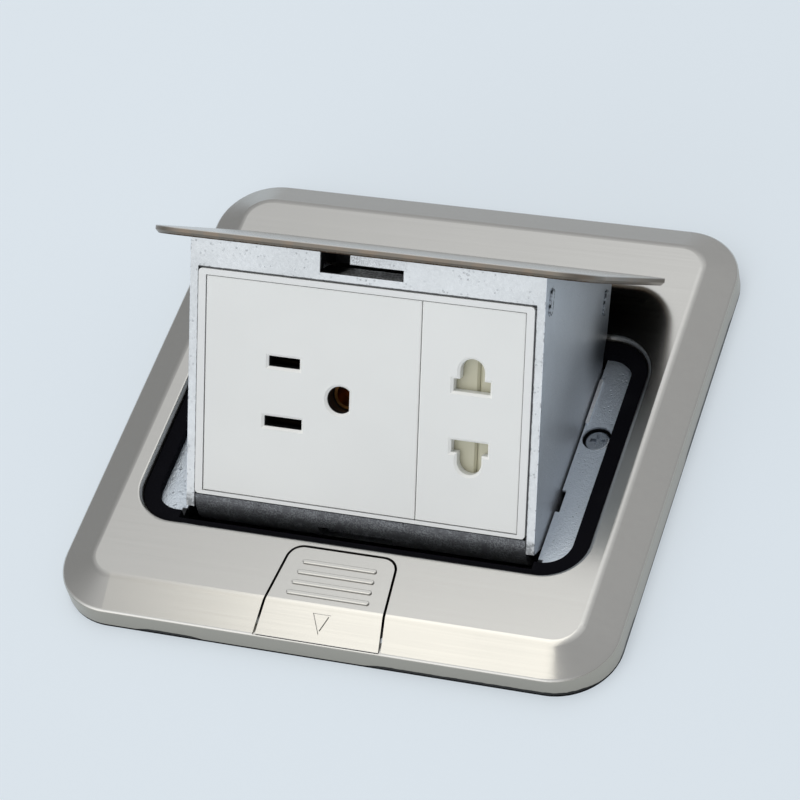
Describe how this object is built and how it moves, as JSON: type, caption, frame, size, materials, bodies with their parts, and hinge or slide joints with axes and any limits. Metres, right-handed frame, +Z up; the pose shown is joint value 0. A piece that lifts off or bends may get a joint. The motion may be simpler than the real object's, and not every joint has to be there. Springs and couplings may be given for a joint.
{
  "type": "floor socket box",
  "caption": "Square pop-up floor socket box: steel back box, stainless face plate, sprung carrier with lid, 3-pin and shuttered 2-pin socket modules, and a slide button.",
  "frame": {"origin": "centre of the back box's underside, which is the lowest face of the part", "axes": "+X along the hinge, to the 2-pin socket; +Y from the slide button to the hinge; +Z up. The finished floor is at z = 55 mm."},
  "size_m": [0.12, 0.12, 0.1102],
  "materials": {
    "stainless": "satin, brushed",
    "casting": "matte, sand-textured",
    "galvanised": "galvanised, satin",
    "lip_steel": "satin",
    "plated": "bright zinc",
    "spring_wire": "bright drawn wire",
    "black_rubber": "matte",
    "white_plastic": "semi-gloss",
    "grey_plastic": "matte",
    "cream_plastic": "semi-gloss",
    "dark_plastic": "matte",
    "contact_brass": "satin"
  },
  "bodies": {
    "base": {"face_plate": "stainless", "face_plate_nuts": "plated", "floor_seal": "black_rubber", "lid_gasket": "black_rubber", "chassis": "casting", "back_box": "galvanised", "blanking_plugs": "dark_plastic", "earth_washer": "contact_brass", "earth_screw": "contact_brass", "box_screws": "plated", "hinge_rod": "plated", "rod_clips": "plated", "left_torsion_spring": "spring_wire", "right_torsion_spring": "spring_wire", "stop_bumpers": "black_rubber", "button_springs": "spring_wire"},
    "button": {"slide_button": "stainless", "latch_plate": "plated", "latch_screws": "plated"},
    "carrier": {"carrier_frame": "casting", "lid": "stainless", "lid_nuts": "plated", "carrier_lip": "lip_steel", "lip_screws": "plated", "module_frame": "white_plastic", "module_frame_screws": "plated", "three_pin_face": "white_plastic", "three_pin_base": "grey_plastic", "line_contact": "contact_brass", "neutral_contact": "contact_brass", "earth_contact": "contact_brass", "three_pin_screws": "plated", "two_pin_face": "white_plastic", "two_pin_base": "grey_plastic", "two_pin_contacts": "contact_brass", "two_pin_screws": "plated", "shutter_springs": "spring_wire"},
    "left_leaf": {"left_shutter": "cream_plastic"},
    "right_leaf": {"right_shutter": "cream_plastic"}
  },
  "joints": [
    {"name": "carrier_hinge", "type": "hinge", "parent": "base", "child": "carrier", "pos_m": [0, 0.0342, 0.0447], "axis": [1, 0, 0], "range_deg": [0, 48.5], "stiffness_Nm_per_rad": 0.3, "springref_deg": -57.3, "deforming": ["left_torsion_spring", "right_torsion_spring"]},
    {"name": "button_slide", "type": "slide", "parent": "base", "child": "button", "axis": [0, -1, 0], "range_m": [0, 0.003], "stiffness_N_per_m": 300, "springref_m": -0.001, "deforming": ["button_springs"]},
    {"name": "left_shutter_slide", "type": "slide", "parent": "carrier", "child": "left_leaf", "axis": [-1, 0, 0], "range_m": [0, 0.0033], "stiffness_N_per_m": 8, "springref_m": -0.001, "deforming": ["shutter_springs"]},
    {"name": "right_shutter_slide", "type": "slide", "parent": "carrier", "child": "right_leaf", "axis": [1, 0, 0], "range_m": [0, 0.0033], "stiffness_N_per_m": 8, "springref_m": -0.001}
  ],
  "couplings": [
    {"joint": "right_shutter_slide", "follows": "left_shutter_slide", "ratio": 1}
  ]
}
